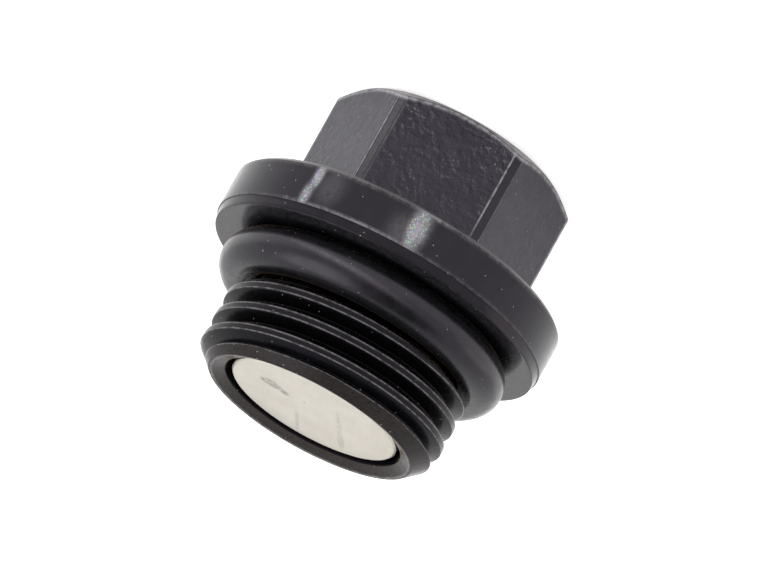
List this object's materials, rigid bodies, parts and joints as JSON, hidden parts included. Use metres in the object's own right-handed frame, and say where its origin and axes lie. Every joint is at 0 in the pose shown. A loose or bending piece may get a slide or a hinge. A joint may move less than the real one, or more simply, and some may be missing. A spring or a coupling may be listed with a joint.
{
  "type": "magnetic drain plug",
  "caption": "Flanged hex-head drain plug with a metric threaded stub, a rubber sealing ring under the flange and a disc magnet set in its threaded end.",
  "frame": {"origin": "centre of the flange's sealing face, on the plug's axis", "axes": "+Z along the axis out of the threaded end, +X normal to one hex flat; the plug stands on the flat top of its head, which faces -Z"},
  "size_m": [0.0298, 0.0298, 0.0263],
  "materials": {
    "black_metal": "satin black coating",
    "seal_rubber": "matte black nitrile",
    "magnet_face": "pale nickel plating"
  },
  "bodies": {
    "root": {"plug_body": "black_metal", "o_ring": "seal_rubber", "magnet": "magnet_face"}
  },
  "joints": []
}
